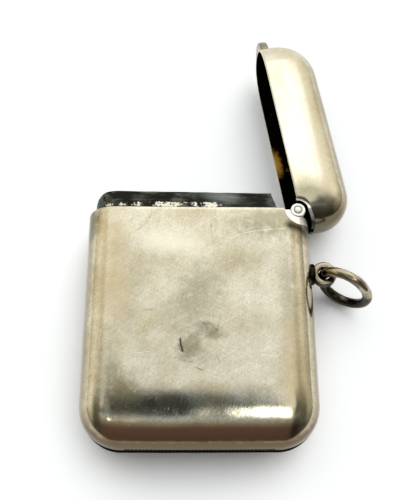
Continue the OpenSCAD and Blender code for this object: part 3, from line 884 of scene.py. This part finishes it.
# Eye and its pad
# A cast silver eye soldered to a small round pad on the side of the body. Handling seldom reaches it,
# so brown tarnish stays in its corners, which are darkened as tarnish and painted shade. It is painted
# pale where it faces up and darker lower down, as painted light and shade with wear.
pad_low, pad_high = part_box("eye_pad")
eye_low, eye_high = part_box("suspension_eye")
eye = (eye_low + eye_high) / 2
eye_r = (eye_high.x - eye_low.x) / 2
eye_hole_r = 0.95 * mm
eye_edge = 0.32 * mm
pad_r = (pad_high.y - pad_low.y) / 2
pad_edge = 0.2 * mm


def browned_silver(name, deep_and_shaded_code, rubbed_and_lit_code, seed=0.0):
    """Cast and drawn silver left to tarnish brown. It is pale where it faces up and stands high, as wear
    and painted light, darker lower down as painted shade, and dark in corners as tarnish and painted shade.
    """
    finish, tree, where = new_finish(name)
    shifted = add(tree, "ShaderNodeVectorMath", {0: where, 1: (seed, seed, seed)}, operation="ADD")
    clouds, grains = [
        add(tree, "ShaderNodeTexNoise",
            {"Vector": shifted, "Scale": 1 / (size * mm), "Detail": 4.0, "Roughness": uneven})
        for size, uneven in ((2.2, 0.55), (0.2, 0.6))]
    # Painted light and shade with wear: paler where the surface faces up and stands high, darker lower down.
    facing = add(tree, "ShaderNodeNewGeometry", out="Normal")
    upward = add(tree, "ShaderNodeSeparateXYZ", {0: facing}, "Z")
    rubbed_and_lit = add(tree, "ShaderNodeMath", {0: upward, 1: 0.3, 2: clouds}, operation="MULTIPLY_ADD")
    height = add(tree, "ShaderNodeSeparateXYZ", {0: where}, "Z")
    lower_shade = add(tree, "ShaderNodeMapRange",
                 {"Value": height, "From Min": mid_z - 4 * mm, "From Max": mid_z + 3 * mm,
                  "To Min": -0.3, "To Max": 0.08})
    rubbed_and_lit = add(tree, "ShaderNodeMath", {0: rubbed_and_lit, 1: lower_shade}, operation="ADD")
    worn = add(tree, "ShaderNodeMapRange",
               {"Value": rubbed_and_lit, "From Min": 0.4, "From Max": 0.8}, **soft_step)
    colour = add(tree, "ShaderNodeMix", {0: worn, 6: linear(deep_and_shaded_code), 7: linear(rubbed_and_lit_code)}, **colour_mix)
    # Tarnish and painted shade: darker in corners.
    crevice = add(tree, "ShaderNodeAmbientOcclusion", {"Distance": 0.9 * mm}, "AO", samples=8)
    dirt_and_shade = add(tree, "ShaderNodeMapRange",
               {"Value": crevice, "From Min": 0.75, "From Max": 0.25, "To Max": 0.92})
    colour = add(tree, "ShaderNodeMix", {0: dirt_and_shade, 6: colour, 7: linear("#1f1912")}, **colour_mix)
    rough = add(tree, "ShaderNodeMapRange", {"Value": grains, "To Min": 0.1, "To Max": 0.22})
    height = add(tree, "ShaderNodeMath", {0: clouds, 1: 4.0, 2: grains}, operation="MULTIPLY_ADD")
    close_finish(tree, colour, rough, height, 0.006 * mm)
    return finish


ring_silver = browned_silver("browned_silver", "#3c372c", "#b3a88f")
eye_piece = polar_ring("cast_eye", eye_low.z, eye_high.z, eye_hole_r, lambda angle: eye_r, eye_edge, eye)
eye_piece.data.materials.append(ring_silver)
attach(eye_piece, "case")
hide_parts("suspension_eye")

pad_reach = pad_high.x - half_w
pad_profile = [(pad_r, 0.0)]
for turn in round_turns:
    pad_profile.append((pad_r - pad_edge * (1 - math.cos(turn)), pad_reach - pad_edge * (1 - math.sin(turn))))
pad_rows = []
for r, out in pad_profile:
    loop = []
    for angle in ring_angles:
        z = r * math.sin(angle)
        bulge = (1 - (abs(z) / half_t) ** body_form["pillow"]) ** (1 / body_form["pillow"])
        seat = half_w - body_form["side"][1] * (1 - bulge) + solder_gap
        loop.append((seat if out == 0.0 else half_w + out, eye.y + r * math.cos(angle), mid_z + z))
    pad_rows.append(loop)
work, grid = shaped(pad_rows, closed_columns=True)
work.faces.new(grid[0])
work.faces.new(grid[-1])
# The pad is drawn near black.
pad = finished(work, "eye_seat", [browned_silver("near_black_silver", "#0d0b08", "#241e15")])
carved(pad, polar_ring("eye_cut", eye_low.z - eye_edge, eye_high.z + eye_edge, eye_hole_r,
                       lambda angle: eye_r + solder_gap, eye_edge / 4, eye))
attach(pad, "case")
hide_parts("eye_pad")


# Lid shells
# The lid is struck and soldered like the body, from two lower trays. It is drawn shut and swung open
# about the pin. Its far corner is rounder than the one at the hinge, and its inside is burnt black,
# partly as painted shade.
lid_open = math.radians(max(frame["joints"][0]["range_deg"]))
lid_h = 9.5 * mm
rim_gap = 0.08 * mm
lid_form = {
    "pillow": 2.5,
    "height": lid_h,
    "end": 8.2 * mm,
    "side": (7.4 * mm, 6.4 * mm),
    "corner": (6.8 * mm, 5.2 * mm),
    "bow": 0.0,
}
swing = Matrix.Translation(hinge) @ Matrix.Rotation(-lid_open, 4, "Z") @ Matrix.Translation(-hinge)


def lid_place(u, v, w, face):
    """Where a tray's point lies on the open lid, on its front (1) or its back (-1)."""
    place = Vector((u, rim_y + rim_gap + lid_h - v, mid_z + face * w))
    fullness = w / half_t
    return swing @ (place - Vector((0, 0, face * fullness * dent(place))))


lid_dull = [((17.4, 22.4), (4.0, 3.4), 0.2, 0.5)]
lid_clean = [((19.0, 31.0), (6.0, 12.0), 0.16, 0.95)]
# A painted reflection: a wide dark stroke on the lid's hinge end stands for the dark side of the room.
lid_painted_reflection = [([(18.4, 17.0), (20.4, 17.0), (22.8, 18.6)], 6.0, "#5e5542", 0.85)]
lid_silver = struck_silver("struck_silver_lid", lid_dull, lid_clean, lid_painted_reflection,
                           wiping=(0.93, 1.06), seed=0.031)
# The lid's back tray is darkened hard near its seam, as tarnish and painted shade.
lid_back_silver = struck_silver("struck_silver_lid_back", edge_tarnish_and_shade=1.0, edge_tarnish_and_shade_code="#5f5742", seed=0.013)
lid_gilt = gilt_wash("burnt_shaded_gilt_lid", ((14.2, 32.2), (1.15, 3.7), 0.16), seed=0.02)
lid_lip_at_stop = Vector((1.164 * mm, -2.019 * mm))
lid_gutter_r = knuckle_r + 0.5 * mm
lid_strip_t = 0.5 * mm
flip = Matrix.Translation(hinge) @ Matrix.Scale(-1, 4, (0, 1, 0)) @ Matrix.Translation(-hinge)


def hung(tool):
    """Turns over what is drawn below the hinge axis, and swings it to where the lid stands."""
    tool.data.transform(swing @ flip)
    tool.data.flip_normals()
    return tool


lid_cut_outline = gutter_room(lid_gutter_r, lid_lip_at_stop, lid_strip_t + solder_gap)
for node, face, finish in (("lid_front_shell", 1, lid_silver), ("lid_back_shell", -1, lid_back_silver)):
    name = node.replace("shell", "sheet")
    shell = tray(name, lid_form, half_place(lid_place, face), [finish, lid_gilt])
    carved(shell, hung(prism("lid_gutter_cut", lid_cut_outline, cut_low, cut_high)))
    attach(shell, "lid")
    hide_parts(node)


# Lid hinge bearer and knuckle
# The lid's gutter strip and the middle tube of the hinge, which is soldered to it. Both are filed
# silver, and the strip is painted dark below the tube, as painted shade with old dirt.
strip = gutter_strip(lid_gutter_r, lid_lip_at_stop, lid_strip_t)
lid_bearer = hung(prism("lid_gutter_strip", strip, hinge_low, hinge_high))
lid_bearer.data.materials.append(filed_silver("filed_silver_lid", hinge.y - 0.7 * mm))
carved(lid_bearer, lump("lid_lump", lid_form, lid_place), "INTERSECT")
blackened_inside(lid_bearer, lid_gilt)
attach(lid_bearer, "lid")
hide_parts("lid_hinge_bearer")

lid_web = (95, 150)
low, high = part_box("lid_knuckle")
shape = saddled(knuckle_r, lid_web, lid_gutter_r - solder_gap)
lid_knuckle = polar_ring("lid_tube", low.z, high.z, bore_r, shape, knuckle_edge, hinge)
lid_knuckle.data.transform(swing)
lid_knuckle.data.materials.append(hinge_silver)
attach(lid_knuckle, "lid")
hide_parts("lid_knuckle")


# Thumb piece
# A half-round lip of silver soldered to the lid's far end, to lift the lid with a thumb nail. Use has
# rounded its edges.
thumb_r = 3.4 * mm
thumb_reach = 2.1 * mm
thumb_t = 1.5 * mm
thumb_inset = 0.3 * mm
thumb_edge = 0.35 * mm
thumb_centre = Vector((-half_w - thumb_reach + thumb_r, rim_y + rim_gap + thumb_inset, mid_z))
thumb_profile = []
for a in (0, 22.5, 45, 67.5, 90):
    turn = math.radians(a)
    thumb_profile.append((thumb_r - thumb_edge * (1 - math.sin(turn)), thumb_edge * (1 - math.cos(turn))))
thumb_profile += [(r, thumb_t - y) for r, y in thumb_profile[::-1]]
thumb_rows = []
for r, y in thumb_profile:
    loop = [Vector((r * math.cos(angle), y, r * math.sin(angle))) for angle in ring_angles]
    thumb_rows.append([swing @ (thumb_centre + point) for point in loop])
work, grid = shaped(thumb_rows, closed_columns=True)
work.faces.new(grid[0])
work.faces.new(grid[-1])
# The thumb piece is darkened near its seam, as tarnish and painted shade.
thumb_silver = struck_silver("struck_silver_thumb", edge_tarnish_and_shade=1.0, edge_tarnish_and_shade_code="#857d6c", seed=0.05)
thumb = finished(work, "thumb_lip", [thumb_silver])
carved(thumb, lump("lid_lump", lid_form, lid_place))
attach(thumb, "lid")
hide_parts("thumb_piece")


# Hanging ring
# A ring of round silver wire, closed with solder, that hangs in the eye and lies out to the side. It
# is browned like the eye, and its wire is a little uneven.
ring_low, ring_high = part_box("hanging_ring")
ring_wire_r = 0.82 * mm
ring_solid_wire_r = 0.75 * mm
ring_uneven = 0.02 * mm
solder_run, solder_neck = 0.35 * mm, 0.03 * mm
ring_r = (ring_high.z - ring_low.z) / 2 - ring_solid_wire_r
ring_centre = (ring_low + ring_high) / 2
ring_lean = math.radians(6.5)
ring_play = Vector((-0.07, -0.03, 0)) * mm
ring_turn = math.atan2(ring_centre.y - eye.y, ring_centre.x - eye.x)
ring_wire_steps, ring_round_steps = 40, 160
out_dir = Vector((math.cos(ring_turn), math.sin(ring_turn), 0))
side_dir = Vector((-math.sin(ring_turn), math.cos(ring_turn), 0))
ring_up = Vector((0, 0, 1)) * math.cos(ring_lean) + side_dir * math.sin(ring_lean)
ring_axis = out_dir.cross(ring_up)
solder_at = math.radians(35)
ring_rows = []
for k in range(ring_round_steps):
    around = 2 * math.pi * k / ring_round_steps
    spoke = out_dir * math.cos(around) + ring_up * math.sin(around)
    joint = math.exp(-((around - solder_at) * ring_r / solder_run) ** 2)
    at = ring_centre + ring_play + spoke * ring_r
    loop = []
    for j in range(ring_wire_steps):
        turn = 2 * math.pi * j / ring_wire_steps
        way = spoke * math.cos(turn) + ring_axis * math.sin(turn)
        uneven = ring_uneven * noise.noise((at + way * ring_wire_r) / (1.2 * mm))
        loop.append(at + way * (ring_wire_r - ring_uneven + uneven - solder_neck * joint))
    ring_rows.append(loop)
work = shaped(ring_rows, closed_columns=True, closed_rows=True)[0]
ring = finished(work, "wire_ring", [browned_silver("browned_wire", "#39342a", "#bcb097", seed=0.04)])
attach(ring, "ring")
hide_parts("hanging_ring")


# Floor
# Plain white matt paper under the object. It shows white to the eye and in the metal where the way to
# the light is open, and keeps the object's soft shadow.
floor_r = 3.0
floor_steps = 64
paper_lift = 0.5
work = bmesh.new()
bmesh.ops.create_circle(work, cap_ends=True, radius=floor_r, segments=floor_steps)
paper, tree = new_finish("white_paper")[:2]
shown = 0.0
for ray in ("Is Camera Ray", "Is Glossy Ray", "Is Transmission Ray"):
    seen = add(tree, "ShaderNodeLightPath", out=ray)
    shown = add(tree, "ShaderNodeMath", {0: shown, 1: seen}, operation="MAXIMUM")
lit_from = add(tree, "ShaderNodeCombineXYZ", {0: 0.3, 1: 0.6, 2: 0.74})
open_share = add(tree, "ShaderNodeAmbientOcclusion", {"Distance": 25 * mm, "Normal": lit_from}, "AO",
                 samples=16)
open_share = add(tree, "ShaderNodeMapRange",
                 {"Value": open_share, "From Min": 0.3, "From Max": 0.74, "To Max": paper_lift})
lift = add(tree, "ShaderNodeMath", {0: shown, 1: open_share}, operation="MULTIPLY")
matt = add(tree, "ShaderNodeBsdfDiffuse", {"Color": linear("#eef3f6")})
glow = add(tree, "ShaderNodeEmission", {"Color": (1, 1, 1, 1), "Strength": lift})
both = add(tree, "ShaderNodeAddShader", {0: matt, 1: glow})
add(tree, "ShaderNodeOutputMaterial", {"Surface": both})
floor = finished(work, "paper_floor", [paper])


# Room light
# A pale room: a broad bright panel behind the object, dim walls to both sides with a pale table below
# them, windows above, and a dim wall in front with two bright panes over the viewer's shoulders. Its
# levels were set by comparing the silver's reflections with the photograph.
room = bpy.data.worlds.new("pale_room")
bpy.context.scene.world = room
room.use_nodes = True
tree = room.node_tree
tree.nodes.clear()
way = add(tree, "ShaderNodeTexCoord", out="Generated")
across = add(tree, "ShaderNodeSeparateXYZ", {0: way}, "X")
toward = add(tree, "ShaderNodeSeparateXYZ", {0: way}, "Y")
toward = add(tree, "ShaderNodeMath", {0: toward, 1: -1.0}, operation="MULTIPLY")
upward = add(tree, "ShaderNodeSeparateXYZ", {0: way}, "Z")
tilt = add(tree, "ShaderNodeMath", {0: toward, 1: upward}, operation="ARCTAN2")
swept = add(tree, "ShaderNodeMapRange",
            {"Value": tilt, "From Min": -math.pi / 2, "From Max": math.pi / 2})
aside = add(tree, "ShaderNodeMath", {0: across}, operation="ABSOLUTE")
room_top = 1.5
grey, neutral, warm, cool = (1.0, 1.0, 1.0), (1.0, 1.0, 0.98), (1.06, 1.0, 0.86), (0.88, 1.0, 1.1)


def room_colour(level, tint):
    """A brightness with a tint, on the room's scale."""
    return [level * c / room_top for c in tint] + [1.0]


def sweep(runs, dimmed=1.0):
    """Colours of the room from behind the object, over the top, to the front, by angle in degrees."""
    stops = [(angle, level * dimmed, tint) for tint, run in runs for angle, level in run]
    ramp = add(tree, "ShaderNodeValToRGB", {0: swept})
    ends = ramp.node.color_ramp.elements
    for number, (angle, level, tint) in enumerate(stops):
        at = (angle + 90) / 180
        stop = ends[0] if number == 0 else ends[-1] if number == len(stops) - 1 else ends.new(at)
        stop.color = room_colour(level, tint)
    return ramp


def patch(way_x, angle, half_x, half_angle):
    """A soft oval of the room, found by its way across and its angle, 1 inside and 0 outside."""
    offs = []
    ways = ((across, way_x, half_x), (tilt, math.radians(angle), math.radians(half_angle)))
    for value, middle, half in ways:
        off = add(tree, "ShaderNodeMath", {0: value, 1: middle}, operation="SUBTRACT")
        offs.append(add(tree, "ShaderNodeMath", {0: off, 1: half}, operation="DIVIDE"))
    off = add(tree, "ShaderNodeCombineXYZ", {0: offs[0], 1: offs[1]})
    away = add(tree, "ShaderNodeVectorMath", {0: off}, "Value", operation="LENGTH")
    return add(tree, "ShaderNodeMapRange", {"Value": away, "From Min": 1.35, "From Max": 0.55}, **soft_step)


panel = [(-90, 1.0), (-60, 1.1), (-36, 1.2), (-28, 1.2), (-20, 0.95), (-12, 0.84), (-6, 0.55)]
overhead = [(0, 0.24), (8, 0.15), (15, 0.16), (20, 0.3), (25, 0.56)]
front_wall = [(37, 0.34), (43, 0.32), (55, 0.28), (75, 0.24), (90, 0.24)]
side_wall = [(-90, 0.7), (-40, 0.95), (-28, 0.82), (-20, 0.64), (-12, 0.4),
             (-3, 0.27), (8, 0.18), (30, 0.13), (70, 0.09), (90, 0.15)]
table = [(-90, 0.7), (-30, 0.88), (0, 0.8), (30, 0.65), (75, 0.45), (90, 0.4)]
right_table_share = 0.62
patches = [
    ((0.25, -1, 0.14, 18), 1.0, grey),
    ((-0.44, 0, 0.17, 14), 0.65, grey),
    ((0.38, -42, 0.22, 16), 1.45, grey),
    ((-0.21, 6, 0.1, 17), 0.33, grey),
    ((-0.04, 11, 0.048, 16), 0.03, grey),
    ((0.06, 20, 0.06, 7), 0.32, cool),
    ((0.155, 19, 0.078, 9), 3.6, grey),
    ((-0.135, 31.5, 0.016, 3), 7.0, grey),
    ((0.17, -38, 0.2, 12), 1.7, grey),
    ((0.45, 62, 0.25, 45), 0.085, grey),
]
sky = sweep([(neutral, panel), (cool, overhead), (neutral, [(31, 0.44)]), (warm, front_wall)])
for place, level, tint in patches:
    sky = add(tree, "ShaderNodeMix", {0: patch(*place), 6: sky, 7: room_colour(level, tint)}, **colour_mix)
sides = [
    (aside, 0.42, 0.64, sweep([(warm, side_wall)])),
    (across, -0.78, -0.94, sweep([(warm, table)])),
    (across, 0.78, 0.94, sweep([(warm, table)], right_table_share)),
]
for value, begin, full, side in sides:
    share = add(tree, "ShaderNodeMapRange",
                {"Value": value, "From Min": begin, "From Max": full}, **soft_step)
    sky = add(tree, "ShaderNodeMix", {0: share, 6: sky, 7: side}, **colour_mix)
glow = add(tree, "ShaderNodeBackground", {"Color": sky, "Strength": room_top})
add(tree, "ShaderNodeOutputWorld", {"Surface": glow})


# Camera
# It looks down on the case from the base end, close enough for the lid to lean away. Its place and
# lens come from a fit to the outline in the photograph.
camera_at = Vector((-2.537, -33.526, 116.935)) * mm
camera_right = Vector((0.99959, -0.00595, 0.02813))
camera_back = Vector((-0.02823, -0.3879, 0.92127))
camera_lens, camera_sensor = 53.28, 36
camera_data = bpy.data.cameras.new("camera")
camera_data.lens = camera_lens
camera_data.sensor_width = camera_sensor
camera_data.clip_start = 5 * mm
camera = bpy.data.objects.new("camera", camera_data)
bpy.context.scene.collection.objects.link(camera)
camera_up = camera_back.cross(camera_right).normalized()
turn = Matrix((camera_right.normalized(), camera_up, camera_back.normalized())).transposed()
camera.matrix_world = Matrix.Translation(camera_at) @ turn.to_4x4()
bpy.context.scene.camera = camera
bpy.context.scene.view_settings.view_transform = "Standard"
